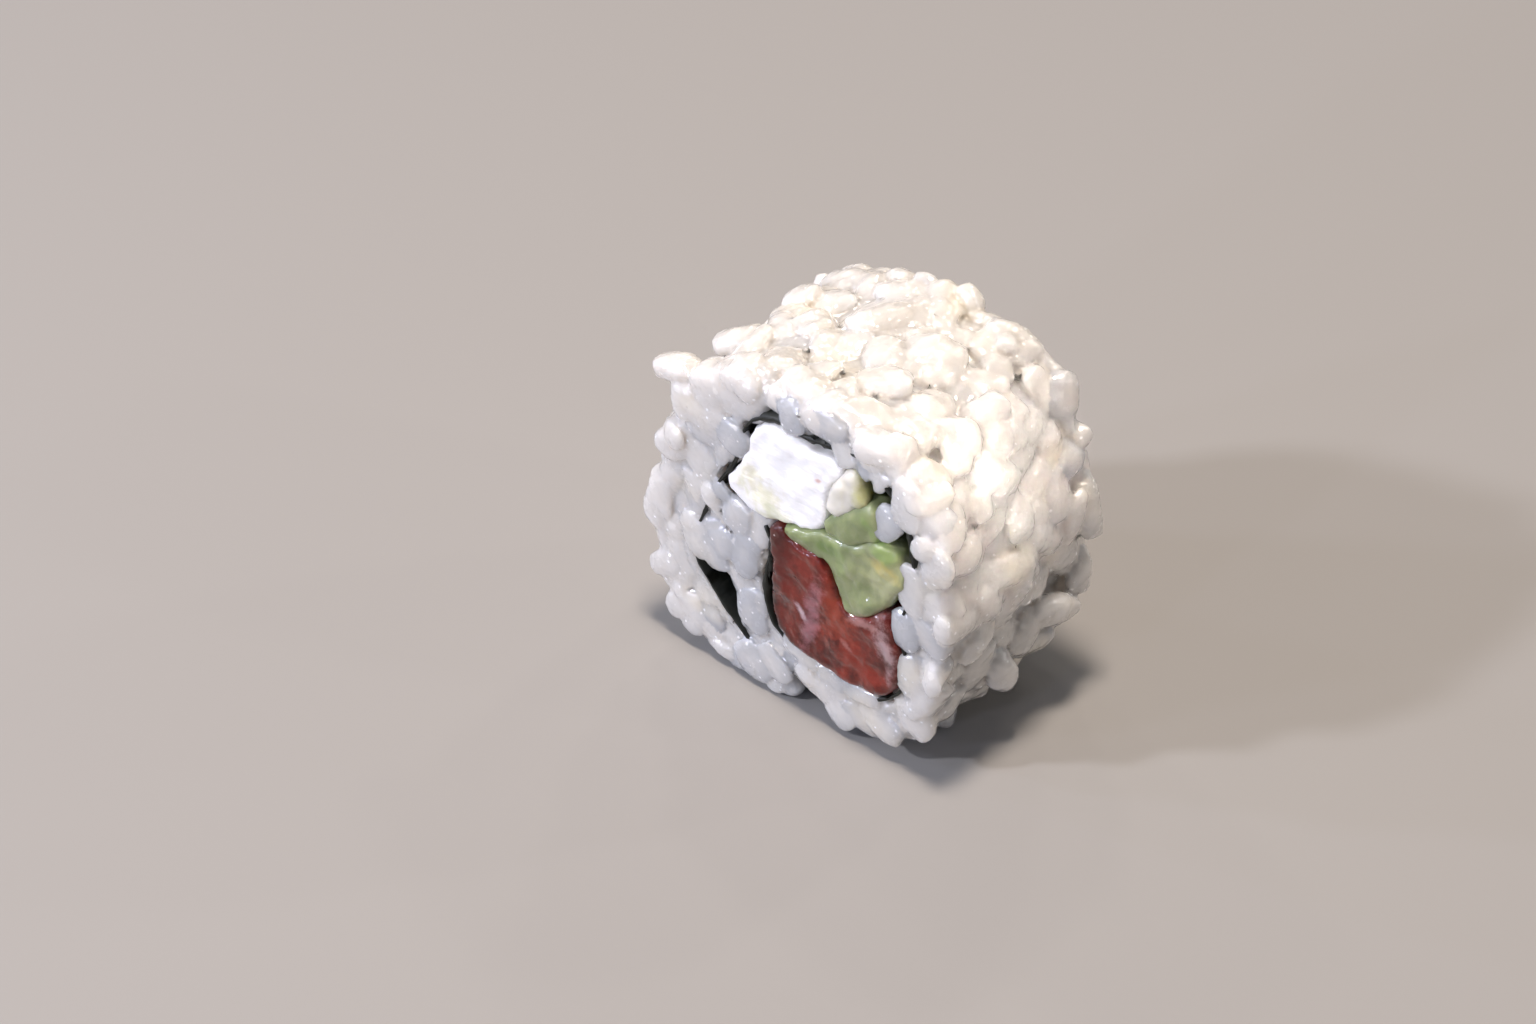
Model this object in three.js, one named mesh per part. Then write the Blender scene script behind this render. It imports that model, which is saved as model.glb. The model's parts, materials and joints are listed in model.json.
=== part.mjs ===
// One slice of an inside-out sushi roll, lying on its rounded side.
//
// Cooked rice is pressed on one side of a sheet of nori, and the sheet is rolled up with the rice
// outside. The rolled layer makes a little more than one turn: it begins beside the tuna, passes
// under the fillings, goes up the right and over the top, and comes down the left outside its own
// beginning. The fillings run from cut to cut: a block of cream cheese, three slices of avocado
// and a bar of tuna.
//
// Units are millimetres. X runs across the cut face, Y along the roll with the shown cut at -Y,
// Z up. The origin is under the middle of the slice, on the surface it rests on.

import * as THREE from "three";

// ---- driving sizes ---------------------------------------------------------------------------

const SLICE_LENGTH = 26.4;
const NORI_THICKNESS = 0.3;
const CLEARANCE = 0.3;
const NORI_INSET = 0.5;
const FILLING_INSET = 0.5;

const RICE_RIM_RADIUS = 1.2;
const FILLING_RIM_RADIUS = 0.5;
const RICE_LUMP_HEIGHT = 0.75;
const GRAIN_WIDTH = 3.3;
const REST_DEPTH = 0.7;
const BULGE = 0.5;
const TWIST_DEGREES = 3;
const SLANT = 0.9;

const RICE_PATH_POINTS = 72;
const NORI_PATH_POINTS = 72;
const FILLING_CONTOUR_POINTS = 32;
const RICE_STEPS = 12;
const FILLING_STEPS = 3;

// Centre that the rolled layer winds around, on the cut face.
const WINDING_CENTRE = new THREE.Vector2(3, 22);

// The rolled layer: how far it has turned in degrees, anticlockwise from +X, the radius of the
// nori and the radius of the rice's outside there.
const WRAP = [
  [172, 6.9, 12.8], [182, 6.1, 14.3], [192, 6.1, 16.0], [202, 6.6, 17.9], [208, 6.9, 18.2],
  [213, 7.5, 15.6], [219, 8.5, 15.5], [226, 9.9, 16.3], [236, 11.9, 17.9], [246, 13.4, 18.3],
  [258, 13.9, 18.5], [266, 14.2, 18.7], [276, 14.6, 20.4], [288, 15.8, 22.2], [300, 16.8, 22.2],
  [312, 16.9, 21.6], [326, 15.8, 20.1], [340, 13.2, 18.8], [355, 12.3, 18.3], [370, 13.5, 18.6],
  [384, 14.9, 19.2], [400, 16.6, 20.6], [414, 17.6, 21.6], [430, 17.9, 21.6], [442, 16.4, 20.9],
  [456, 15.7, 20.7], [468, 16.7, 21.3], [480, 16.7, 22.3], [488, 15.9, 22.7], [498, 14.2, 22.8],
  [509, 13.3, 22.8], [522, 13.7, 22.6], [536, 14.6, 22.7], [548, 15.9, 23.7], [560, 18.2, 25.4],
  [570, 19.0, 26.4], [582, 18.6, 26.8], [594, 18.7, 25.8], [606, 19.0, 24.0], [617, 19.3, 22.7],
];

// Outlines of the fillings on the cut face, anticlockwise, as smooth loops through these points.
const CREAM_CHEESE = [
  [-4.3, 35.9], [-5.7, 34.3], [-6.3, 32.0], [-7.3, 29.6], [-8.9, 27.0], [-8.6, 25.2],
  [-6.6, 24.3], [-3.6, 24.0], [-1.2, 25.2], [2.2, 25.9], [3.9, 26.8], [4.7, 28.7],
  [4.5, 30.6], [5.1, 33.1], [6.6, 35.2], [6.9, 36.5], [4.4, 36.7], [2.4, 36.2],
  [0.0, 36.8], [-2.4, 36.8],
];
const AVOCADO_TOP = [
  [5.3, 29.9], [6.4, 30.3], [8.0, 31.7], [9.7, 33.3], [9.1, 34.9], [8.9, 36.4],
  [7.8, 36.2], [6.5, 33.9], [5.3, 32.2],
];
const AVOCADO_MIDDLE = [
  [5.2, 27.2], [7.4, 27.4], [9.9, 28.4], [11.2, 29.2], [12.0, 31.0], [11.4, 32.8],
  [10.2, 33.2], [8.7, 31.8], [6.7, 29.9], [5.3, 28.8],
];
const AVOCADO_BOTTOM = [
  [-0.7, 24.3], [0.6, 23.6], [2.8, 23.1], [5.0, 23.4], [6.1, 21.8], [6.9, 19.3], [8.4, 17.9],
  [10.4, 18.8], [12.2, 20.8], [13.9, 23.2], [15.6, 26.0], [14.9, 27.6], [13.3, 29.5],
  [11.6, 28.8], [9.4, 27.4], [6.9, 26.7], [4.7, 26.3], [2.2, 25.3],
];
const TUNA = [
  [-3.2, 22.9], [-2.5, 21.3], [-2.1, 18.6], [-2.5, 15.6], [-2.9, 12.9], [-1.8, 10.7],
  [1.0, 9.1], [4.6, 8.3], [8.4, 8.2], [11.8, 8.8], [14.0, 10.4], [15.0, 13.0], [14.7, 16.2],
  [13.6, 19.4], [12.2, 19.9], [10.4, 18.2], [8.4, 17.4], [6.6, 18.6], [5.5, 21.4],
  [4.4, 22.9], [2.2, 22.6], [0.2, 23.2], [-1.5, 24.1],
];

// ---- outlines --------------------------------------------------------------------------------

const DEGREE = Math.PI / 180;

function windingPoint(degrees, radius) {
  const turn = new THREE.Vector2(Math.cos(degrees * DEGREE), Math.sin(degrees * DEGREE));
  return turn.multiplyScalar(radius).add(WINDING_CENTRE);
}

function flatCurve(points, closed) {
  const inSpace = points.map((point) => new THREE.Vector3(point.x, point.y, 0));
  return new THREE.CatmullRomCurve3(inSpace, closed, "centripetal");
}

function samplePath(points, count) {
  const samples = flatCurve(points, false).getSpacedPoints(count - 1);
  return samples.map((point) => new THREE.Vector2(point.x, point.y));
}

function sampleLoop(points, count) {
  const samples = flatCurve(points, true).getSpacedPoints(count).slice(0, count);
  return samples.map((point) => new THREE.Vector2(point.x, point.y));
}

// The side of a path that faces away from the winding centre, at each of its points.
function outwardNormals(path) {
  return path.map((point, i) => {
    const before = path[Math.max(i - 1, 0)];
    const after = path[Math.min(i + 1, path.length - 1)];
    const along = after.clone().sub(before).normalize();
    return new THREE.Vector2(along.y, -along.x);
  });
}

function offsetPath(path, distance) {
  const normals = outwardNormals(path);
  return path.map((point, i) => point.clone().addScaledVector(normals[i], distance));
}

function distanceToPath(point, path) {
  return Math.min(...path.map((other) => point.distanceTo(other)));
}

const noriPath = samplePath(WRAP.map(([degrees, radius]) => windingPoint(degrees, radius)), NORI_PATH_POINTS);

function noriContour() {
  const inside = offsetPath(noriPath, -NORI_THICKNESS / 2);
  const outside = offsetPath(noriPath, NORI_THICKNESS / 2);
  return outside.concat(inside.reverse());
}

// The rice lies on the outside of the nori and ends in a rounded lip at both ends of the layer.
function riceContour() {
  const inside = offsetPath(noriPath, NORI_THICKNESS / 2 + CLEARANCE);
  const lip = ([degrees, nori, rice], lead) => windingPoint(degrees + lead, (nori + rice) / 2);
  const outside = WRAP.map(([degrees, , radius]) => windingPoint(degrees, radius));
  outside.unshift(inside[0], lip(WRAP[0], -2.5));
  outside.push(lip(WRAP[WRAP.length - 1], 4), inside[inside.length - 1]);
  const around = samplePath(outside, RICE_PATH_POINTS).slice(1, -1);
  return around.concat(inside.reverse());
}

// ---- surface unevenness ----------------------------------------------------------------------

// Rounded lumps about as wide as a grain of rice, slanting along the roll.
function riceLump(angle, y) {
  const perRadian = 21 / GRAIN_WIDTH;
  const coarse = Math.sin(perRadian * angle + 0.35 * y + 1.0) * Math.cos(0.45 * y - 2 * angle);
  const fine = Math.sin(2 * perRadian * angle - 0.8 * y + 2.2) * Math.cos(1.1 * y + angle);
  return RICE_LUMP_HEIGHT * (coarse + 0.6 * fine);
}

// How far a rim of the given radius is rounded inwards at this place along the piece.
function rimInset(y, halfLength, radius) {
  const intoRim = Math.max(Math.abs(y) - (halfLength - radius), 0);
  return radius - Math.sqrt(Math.max(radius * radius - intoRim * intoRim, 0));
}

// The slice is slightly twisted and slants to -X along its length, from nothing at the shown cut.
function twist(point, y) {
  const share = (y + SLICE_LENGTH / 2) / SLICE_LENGTH;
  const turned = point.clone().rotateAround(WINDING_CENTRE, TWIST_DEGREES * DEGREE * share);
  return new THREE.Vector3(turned.x - SLANT * share, y, turned.y);
}

// ---- solids ----------------------------------------------------------------------------------

// Places along Y, closer together inside the rounded rims.
function lengthwiseStations(halfLength, rimRadius, steps) {
  const straight = halfLength - rimRadius;
  const rim = [1, 0.9, 0.5].map((share) => straight + rimRadius * share);
  const middle = [];
  for (let i = 0; i <= steps; i += 1) {
    middle.push(-straight + (2 * straight * i) / steps);
  }
  return [...rim.map((y) => -y), ...middle, ...rim.reverse()];
}

// A closed solid through the same loop of points at each station; place() puts a loop point.
function loft(contour, stations, place) {
  const count = contour.length;
  const positions = [];
  const faces = [];
  for (const y of stations) {
    contour.forEach((point, i) => positions.push(...place(point, i, y).toArray()));
  }
  for (let j = 0; j + 1 < stations.length; j += 1) {
    for (let i = 0; i < count; i += 1) {
      const near = j * count + i;
      const nearNext = j * count + ((i + 1) % count);
      faces.push(near, nearNext + count, nearNext);
      faces.push(near, near + count, nearNext + count);
    }
  }
  const backStart = (stations.length - 1) * count;
  for (const [a, b, c] of THREE.ShapeUtils.triangulateShape(contour, [])) {
    faces.push(a, b, c);
    faces.push(backStart + a, backStart + c, backStart + b);
  }
  const geometry = new THREE.BufferGeometry();
  geometry.setAttribute("position", new THREE.Float32BufferAttribute(positions, 3));
  geometry.setIndex(faces);
  return geometry;
}

function loopNormals(contour) {
  return contour.map((point, i) => {
    const before = contour[(i - 1 + contour.length) % contour.length];
    const after = contour[(i + 1) % contour.length];
    const along = after.clone().sub(before).normalize();
    return new THREE.Vector2(along.y, -along.x);
  });
}

function riceGeometry() {
  const contour = riceContour();
  const normals = loopNormals(contour);
  const halfLength = SLICE_LENGTH / 2;
  // 0 against the nori, 1 where the rice is free to bulge.
  const freedom = contour.map((point) => {
    const gap = distanceToPath(point, noriPath);
    return THREE.MathUtils.smoothstep(gap, 1.5, 4.5);
  });
  const place = (point, i, y) => {
    const angle = Math.atan2(point.y - WINDING_CENTRE.y, point.x - WINDING_CENTRE.x);
    const swell = BULGE * (1 - (y / halfLength) ** 2) + riceLump(angle, y);
    const out = freedom[i] * (swell - rimInset(y, halfLength, RICE_RIM_RADIUS));
    const placed = twist(point.clone().addScaledVector(normals[i], out), y);
    if (placed.z < REST_DEPTH) {
      placed.z = 0;
    }
    return placed;
  };
  return loft(contour, lengthwiseStations(halfLength, RICE_RIM_RADIUS, RICE_STEPS), place);
}

function noriGeometry() {
  const halfLength = SLICE_LENGTH / 2 - NORI_INSET;
  const stations = [];
  for (let i = 0; i <= FILLING_STEPS; i += 1) {
    stations.push(-halfLength + (2 * halfLength * i) / FILLING_STEPS);
  }
  return loft(noriContour(), stations, (point, i, y) => twist(point, y));
}

function fillingGeometry(outline) {
  const contour = sampleLoop(outline.map(([x, z]) => new THREE.Vector2(x, z)), FILLING_CONTOUR_POINTS);
  const normals = loopNormals(contour);
  const halfLength = SLICE_LENGTH / 2 - FILLING_INSET;
  const stations = lengthwiseStations(halfLength, FILLING_RIM_RADIUS, FILLING_STEPS);
  return loft(contour, stations, (point, i, y) => {
    const inset = rimInset(y, halfLength, FILLING_RIM_RADIUS);
    return twist(point.clone().addScaledVector(normals[i], -inset), y);
  });
}

// ---- finishes --------------------------------------------------------------------------------

const riceFinish = new THREE.MeshStandardMaterial({ color: 0xeeebe4, roughness: 0.35, metalness: 0 });
const noriFinish = new THREE.MeshStandardMaterial({ color: 0x14160f, roughness: 0.5, metalness: 0 });
const cheeseFinish = new THREE.MeshStandardMaterial({ color: 0xf6f3f4, roughness: 0.4, metalness: 0 });
const avocadoFinish = new THREE.MeshStandardMaterial({ color: 0x93a26b, roughness: 0.35, metalness: 0 });
const tunaFinish = new THREE.MeshStandardMaterial({ color: 0x8a3a30, roughness: 0.3, metalness: 0 });

// ---- assembly --------------------------------------------------------------------------------

const sushiRoll = new THREE.Group();

function addPiece(name, geometry, finish) {
  geometry.computeVertexNormals();
  const mesh = new THREE.Mesh(geometry, finish);
  mesh.name = name;
  sushiRoll.add(mesh);
}

addPiece("rice", riceGeometry(), riceFinish);
addPiece("nori", noriGeometry(), noriFinish);
addPiece("cream_cheese", fillingGeometry(CREAM_CHEESE), cheeseFinish);
addPiece("avocado_top", fillingGeometry(AVOCADO_TOP), avocadoFinish);
addPiece("avocado_middle", fillingGeometry(AVOCADO_MIDDLE), avocadoFinish);
addPiece("avocado_bottom", fillingGeometry(AVOCADO_BOTTOM), avocadoFinish);
addPiece("tuna", fillingGeometry(TUNA), tunaFinish);

// The origin goes under the middle of the slice.
const box = new THREE.Box3().setFromObject(sushiRoll);
const middle = box.getCenter(new THREE.Vector3());
sushiRoll.position.set(-middle.x, -middle.y, -box.min.z);

export default sushiRoll;
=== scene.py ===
# %% [markdown]
# # A slice of inside-out sushi roll
#
# Cooked rice is pressed on a sheet of nori, the sheet is rolled up with the rice outside, and the
# roll is cut into slices. This slice lies on its rounded side, so that both the rolled outside and
# the cut face show. The CAD model gives the true place and size of every food in it, and this
# notebook builds the food itself around that frame: grains that stick together, torn cheese, soft
# avocado and wet tuna.

import json
import math
import random

import bpy
import numpy as np
from mathutils import Matrix, Vector
from mathutils.bvhtree import BVHTree

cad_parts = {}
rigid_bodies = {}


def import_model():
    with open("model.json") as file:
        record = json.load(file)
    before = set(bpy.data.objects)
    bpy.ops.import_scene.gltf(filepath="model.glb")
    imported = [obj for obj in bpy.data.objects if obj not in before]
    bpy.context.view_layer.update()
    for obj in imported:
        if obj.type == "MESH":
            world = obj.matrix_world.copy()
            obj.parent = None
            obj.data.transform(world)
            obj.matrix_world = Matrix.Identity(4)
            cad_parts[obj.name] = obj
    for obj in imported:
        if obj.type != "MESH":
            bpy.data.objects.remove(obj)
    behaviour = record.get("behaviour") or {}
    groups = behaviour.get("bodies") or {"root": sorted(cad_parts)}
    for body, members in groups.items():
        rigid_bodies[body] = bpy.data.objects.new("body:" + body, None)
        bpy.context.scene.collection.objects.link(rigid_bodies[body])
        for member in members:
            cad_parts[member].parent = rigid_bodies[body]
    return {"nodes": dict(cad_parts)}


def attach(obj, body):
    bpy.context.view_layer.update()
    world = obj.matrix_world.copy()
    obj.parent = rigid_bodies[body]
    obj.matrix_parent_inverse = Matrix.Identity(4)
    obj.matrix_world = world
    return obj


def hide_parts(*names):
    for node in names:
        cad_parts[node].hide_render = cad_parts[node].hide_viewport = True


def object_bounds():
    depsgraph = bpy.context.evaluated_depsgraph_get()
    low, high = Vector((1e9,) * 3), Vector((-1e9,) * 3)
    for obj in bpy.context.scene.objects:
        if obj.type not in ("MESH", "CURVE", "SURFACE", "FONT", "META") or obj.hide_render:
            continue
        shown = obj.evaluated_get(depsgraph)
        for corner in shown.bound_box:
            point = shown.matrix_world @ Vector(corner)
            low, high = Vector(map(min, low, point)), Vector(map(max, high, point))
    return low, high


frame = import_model()
cad_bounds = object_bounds()
MM = 0.001
HALF_LENGTH = cad_bounds[1][1] / MM
ROLL_HEIGHT = round(cad_bounds[1][2] / MM)


def in_mm(box):
    return [[round(c / MM, 1) for c in corner] for corner in box]


print("CAD nodes:", sorted(frame["nodes"]))
print("CAD box in mm:", in_mm(cad_bounds))

# %% [markdown]
# ## Selecting and shaping
#
# Blender's operators act on whatever is selected, so each step first says what that is. A modifier
# is added, set up and applied in one go, because the finished pieces have to be plain meshes.


# %% Selection and modifiers
def deselect_all():
    for thing in bpy.context.view_layer.objects:
        thing.select_set(False)


def select_only(*things):
    deselect_all()
    for thing in things:
        thing.select_set(True)
    bpy.context.view_layer.objects.active = things[0]


def select_vertices(piece, wanted):
    """In edit mode, selects the vertices for which wanted(place in mm) is true."""
    bpy.ops.object.mode_set(mode="OBJECT")
    mesh = piece.data
    for part in (mesh.polygons, mesh.edges):
        part.foreach_set("select", [False] * len(part))
    chosen = [bool(wanted(vertex.co / MM)) for vertex in mesh.vertices]
    mesh.vertices.foreach_set("select", chosen)
    bpy.ops.object.mode_set(mode="EDIT")
    bpy.ops.mesh.select_mode(type="VERT")


def stretch_vertices(piece, wanted, scale, centre=(0, 0, 0)):
    """In edit mode, stretches the vertices for which wanted(place in mm) is true."""
    select_vertices(piece, wanted)
    bpy.ops.transform.resize(value=scale, center_override=centre)


def apply_modifier(piece, kind, **settings):
    """Adds one modifier, sets it up and applies it."""
    select_only(piece)
    modifier = piece.modifiers.new(kind.title(), kind)
    for name, value in settings.items():
        setattr(modifier, name, value)
    bpy.ops.object.modifier_apply(modifier=modifier.name)


# %% [markdown]
# ## Colours and nodes
#
# Colours are written as sRGB hex, as they are picked from a colour chart, and turned to the linear
# values that a shader wants. A material is a small net of nodes, and the same few knots come back
# in each: a cloud of noise, a range stretched to another, a mix of two colours and a bump. Each
# has its own short function, with sizes in millimetres.


# %% Colours
def colour(hex_code):
    """An sRGB hex colour as linear red, green, blue and alpha."""
    parts = [int(hex_code[i : i + 2], 16) / 255 for i in (1, 3, 5)]
    linear = [c / 12.92 if c <= 0.04045 else ((c + 0.055) / 1.055) ** 2.4 for c in parts]
    return (*linear, 1.0)


print("middle grey, #808080, is", round(colour("#808080")[0], 3), "in linear light")


# %% Nodes
def add_node(tree, kind, inputs=None, **settings):
    """Adds a node. An input given as another node's output is linked, and any other is set."""
    node = tree.nodes.new(kind)
    for name, value in settings.items():
        setattr(node, name, value)
    for key, value in (inputs or {}).items():
        if isinstance(value, bpy.types.NodeSocket):
            tree.links.new(value, node.inputs[key])
        else:
            node.inputs[key].default_value = value
    return node


def noise(tree, place, size, detail, roughness):
    """A cloud of noise with lumps of about a size in mm."""
    inputs = {"Vector": place, "Scale": 1 / (size * MM), "Detail": detail, "Roughness": roughness}
    return add_node(tree, "ShaderNodeTexNoise", inputs).outputs["Fac"]


def remap(tree, value, start, end, low=0.0, high=1.0, smooth=True):
    """Turns start to low and end to high; smooth eases in and out, and beyond both it stays."""
    inputs = {"Value": value, "From Min": start, "From Max": end, "To Min": low, "To Max": high}
    shape = "SMOOTHSTEP" if smooth else "LINEAR"
    return add_node(tree, "ShaderNodeMapRange", inputs, interpolation_type=shape).outputs["Result"]


def mix(tree, factor, first, second):
    """A colour between two others, each given as a hex code or as a node's output."""
    first, second = (colour(c) if isinstance(c, str) else c for c in (first, second))
    inputs = {"Factor": factor, 6: first, 7: second}
    return add_node(tree, "ShaderNodeMix", inputs, data_type="RGBA").outputs[2]


def calculate(tree, operation, *values):
    """A sum, a difference or another operation on numbers."""
    inputs = dict(enumerate(values))
    return add_node(tree, "ShaderNodeMath", inputs, operation=operation).outputs["Value"]


def bump(tree, height, strength, depth):
    """Relief that only the light sees, with its depth in mm."""
    inputs = {"Height": height, "Strength": strength, "Distance": depth * MM}
    return add_node(tree, "ShaderNodeBump", inputs).outputs["Normal"]


# %% Start and finish a material
def start_material(name):
    """A new material with an empty node tree, and the object coordinates to draw on."""
    made = bpy.data.materials.new(name)
    made.use_nodes = True
    tree = made.node_tree
    tree.nodes.clear()
    place = add_node(tree, "ShaderNodeTexCoord").outputs["Object"]
    return made, tree, place


def finish_material(material, settings):
    """Closes a material with one surface shader, set up by the names of its inputs."""
    tree = material.node_tree
    shader = add_node(tree, "ShaderNodeBsdfPrincipled", settings)
    add_node(tree, "ShaderNodeOutputMaterial", {"Surface": shader.outputs["BSDF"]})
    print(f"{material.name}: {len(tree.nodes)} nodes")


# %% [markdown]
# ## Camera
#
# The slice is seen from above its cut face and a little to the right, as on a table in front of
# someone sitting. A long lens keeps the round outline from looking swollen. The camera stands
# 450 mm from the middle of the slice.

# %% Camera
CAMERA_PLACE = Vector((224.8, -267.9, 304.2)) * MM
CAMERA_AZIMUTH = 41.8
CAMERA_ELEVATION = 39.19
deselect_all()
bpy.ops.object.camera_add(
    location=CAMERA_PLACE,
    rotation=(math.radians(90 - CAMERA_ELEVATION), 0, math.radians(CAMERA_AZIMUTH)),
)
camera = bpy.context.object
camera.name = "camera"
camera.data.lens = 98.1
camera.data.sensor_width = 36
camera.data.clip_start = 10 * MM
bpy.context.scene.camera = camera
print("camera stands", round(CAMERA_PLACE.length / MM), "mm from the origin")

# %% [markdown]
# ## Floor
#
# A plain pale floor, wide enough that its edge is never seen. It throws some light back on the
# underside of the roll, as a table does.

# %% Floor
deselect_all()
bpy.ops.mesh.primitive_plane_add(size=8, location=(0, 0, 0))
floor = bpy.context.object
floor.name = "floor"
floor_paint = start_material("matt_floor_paint")[0]
paint = {"Base Color": colour("#949393"), "Roughness": 0.75, "Specular IOR Level": 0.2}
finish_material(floor_paint, paint)
floor.data.materials.append(floor_paint)

# %% [markdown]
# ## Light
#
# One strong warm lamp overhead makes the top of the rice nearly white. The cut face is lit mostly
# by a cool lamp in front on the left, the sky and the floor, which is why it looks greyer and
# bluer. Faint small lamps stand all round: they add little light, but the wet rice mirrors each of
# them as a bright point. A narrow beam picks out the rim on the right. The view transform is
# Standard, so that a colour on the chart is the colour that comes out.

# %% One lamp
MIDDLE = (0, 0, 21)


def add_lamp(name, direction, distance, size, watts, tint, aim=MIDDLE, spread=180):
    """A square lamp that looks at its aim from a direction; a small spread makes a narrow beam."""
    towards = Vector(direction).normalized()
    deselect_all()
    bpy.ops.object.light_add(
        type="AREA",
        location=Vector(aim) * MM + towards * distance,
        rotation=towards.to_track_quat("Z", "Y").to_euler(),
    )
    lamp = bpy.context.object
    lamp.name = name
    lamp.data.size = size
    lamp.data.energy = watts
    lamp.data.color = colour(tint)[:3]
    lamp.data.spread = math.radians(spread)


def from_angles(azimuth, elevation):
    """A direction from the azimuth round from -Y towards +X, and the elevation, in degrees."""
    turn, rise = math.radians(azimuth), math.radians(elevation)
    return (math.sin(turn) * math.cos(rise), -math.cos(turn) * math.cos(rise), math.sin(rise))


# %% Lamps and sky
# width in metres, tint, and each lamp's azimuth, elevation and watts
LAMPS = {
    "overhead": (0.12, "#FFEEDD", [(30, 86, 7.25)]),
    "front": (0.05, "#F7F7FF", [(-34, 34, 3.35)]),
    "left": (0.045, "#E2E7FF", [(-54, 18, 1.1), (-26, 14, 0.8), (2, 16, 0.7)]),
    "low_left": (0.045, "#D6DDFF", [(-72, 10, 0.7), (-42, 5, 0.5), (-12, 5, 0.5)]),
    "right": (0.045, "#FFF9F4", [(112, 26, 0.3), (128, 14, 0.16), (144, 24, 0.4)]),
    "back": (0.06, "#FFF4E8", [(175, 42, 0.4), (205, 34, 0.4), (226, 48, 0.4), (252, 38, 0.3)]),
}
LAMP_DISTANCE = 0.8
for name, (size, tint, lamps) in LAMPS.items():
    for azimuth, elevation, watts in lamps:
        direction = from_angles(azimuth, elevation)
        add_lamp(name + "_lamp", direction, LAMP_DISTANCE, size, watts, tint)
RIGHT_RIM = (20, -3, 37)
beam = {"distance": 0.40, "size": 0.015, "watts": 0.0017, "tint": "#FFF5EE", "spread": 4}
add_lamp("right_rim_lamp", from_angles(75, 32), aim=RIGHT_RIM, **beam)
sky = bpy.data.worlds.new("studio_sky")
bpy.context.scene.world = sky
sky.use_nodes = True
glow = sky.node_tree.nodes["Background"].inputs
glow["Color"].default_value = colour("#EEF0F6")
glow["Strength"].default_value = 0.105
bpy.context.scene.view_settings.view_transform = "Standard"
bpy.context.scene.view_settings.look = "None"

# %% [markdown]
# ## Droplets
#
# The cut and the rice are wet. Here and there the water stands in tiny beads. Real drops on the mesh
# would need far too many faces, so they are drawn in the material: on the rice as bumps, and on the
# rice and the tuna as white or near-white colour, which is a painted glint. Cells of a Voronoi
# texture give them places, and a cloud of noise decides where they grow.


# %% Beads of water
def bead_and_painted_glint_mask(tree, place, cloud, cell, start):
    """Rounded beads in cells of a size in mm, up to half a cell wide, where the cloud tops start;
    drawn white, they are painted glints.
    """
    inputs = {"Vector": place, "Scale": 1 / (cell * MM), "Randomness": 1.0}
    gap = add_node(tree, "ShaderNodeTexVoronoi", inputs).outputs["Distance"]
    reach = remap(tree, cloud, start, start + 0.16, 0.0, 0.27, smooth=False)
    depth = calculate(tree, "SUBTRACT", reach, gap)
    return remap(tree, depth, 0.0, 0.2)


# %% [markdown]
# ## Cooked rice
#
# Cooked short-grain rice is gelled starch: light goes in, scatters for a few millimetres and comes
# out again, so edges glow and shadows between grains are soft. Each grain differs a little, from
# chalky white to glassy grey, so every vertex carries its grain's tone; on the cut that tone also
# holds painted shade, greyer low down. Where grains meet, painted shade darkens the colour, and on
# their sharp edges a painted highlight lightens it. The skin is wet, with fine wrinkles under a
# millimetre, and beads of water whose bumps catch small sharp highlights and whose white colour is
# a painted glint.

# %% Rice material
rice_material, tree, place = start_material("cooked_short_grain_rice")
GRAIN_TONE_AND_SHADE = "grain_tone_and_low_shade"
tone_and_low_shade = add_node(tree, "ShaderNodeAttribute", attribute_name=GRAIN_TONE_AND_SHADE).outputs["Fac"]
cloud = noise(tree, place, 2.2, 3.0, 0.55)
chalk = mix(tree, cloud, "#D9D6D2", "#C6C4C1")
# glassy grey by each grain's tone; on the cut the tone also holds painted shade, greyer low down
body = mix(tree, remap(tree, tone_and_low_shade, 0.3, 1.0), chalk, "#ADB0B5")
stain = remap(tree, noise(tree, place, 9.0, 1.0, 0.5), 0.56, 0.7, 0.0, 0.3)
body = mix(tree, stain, body, "#E9DDC2")
pointiness = add_node(tree, "ShaderNodeNewGeometry").outputs["Pointiness"]
# painted shade: greyer and darker where the skin is hollow between grains
body = mix(tree, remap(tree, pointiness, 0.48, 0.4, 0.0, 0.25), body, "#A89F95")
# painted highlight: lighter on the sharp edges of grains
body = mix(tree, remap(tree, pointiness, 0.53, 0.6, 0.0, 0.5), body, "#F1EFEC")
# beads of water: their white colour is a painted glint, and in the coat's bump they are real relief
droplet_and_painted_glint = bead_and_painted_glint_mask(tree, place, cloud, 1.05, 0.41)
body = mix(tree, droplet_and_painted_glint, body, "#FFFFFF")
wrinkle = noise(tree, place, 0.8, 0.0, 0.5)
skin = bump(tree, calculate(tree, "MULTIPLY_ADD", droplet_and_painted_glint, 0.5, wrinkle), 1.0, 0.19)
finish_material(
    rice_material,
    {
        "Base Color": body,
        "Roughness": remap(tree, cloud, 0.35, 0.65, 0.2, 0.3, smooth=False),
        "IOR": 1.45,
        "Subsurface Weight": 1.0,
        "Subsurface Radius": (1.0, 0.92, 0.85),
        "Subsurface Scale": 5.5 * MM,
        "Coat Weight": 1.0,
        "Coat IOR": 1.9,
        "Coat Roughness": 0.07,
        "Coat Normal": skin,
    },
)

# %% [markdown]
# ## Nori
#
# Nori is a paper of dried seaweed, nearly black with a green-brown cast and a faint fibrous sheen.
# Rolled inside, it only shows as a dark line round the fillings and in the gaps of the roll.

# %% Nori material
nori_material, tree, place = start_material("roasted_nori")
fibres = noise(tree, place, 1.2, 4.0, 0.7)
finish_material(
    nori_material,
    {
        "Base Color": mix(tree, fibres, "#070906", "#1A1E14"),
        "Roughness": 0.5,
        "IOR": 1.45,
        "Normal": bump(tree, fibres, 0.5, 0.1),
    },
)

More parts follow.
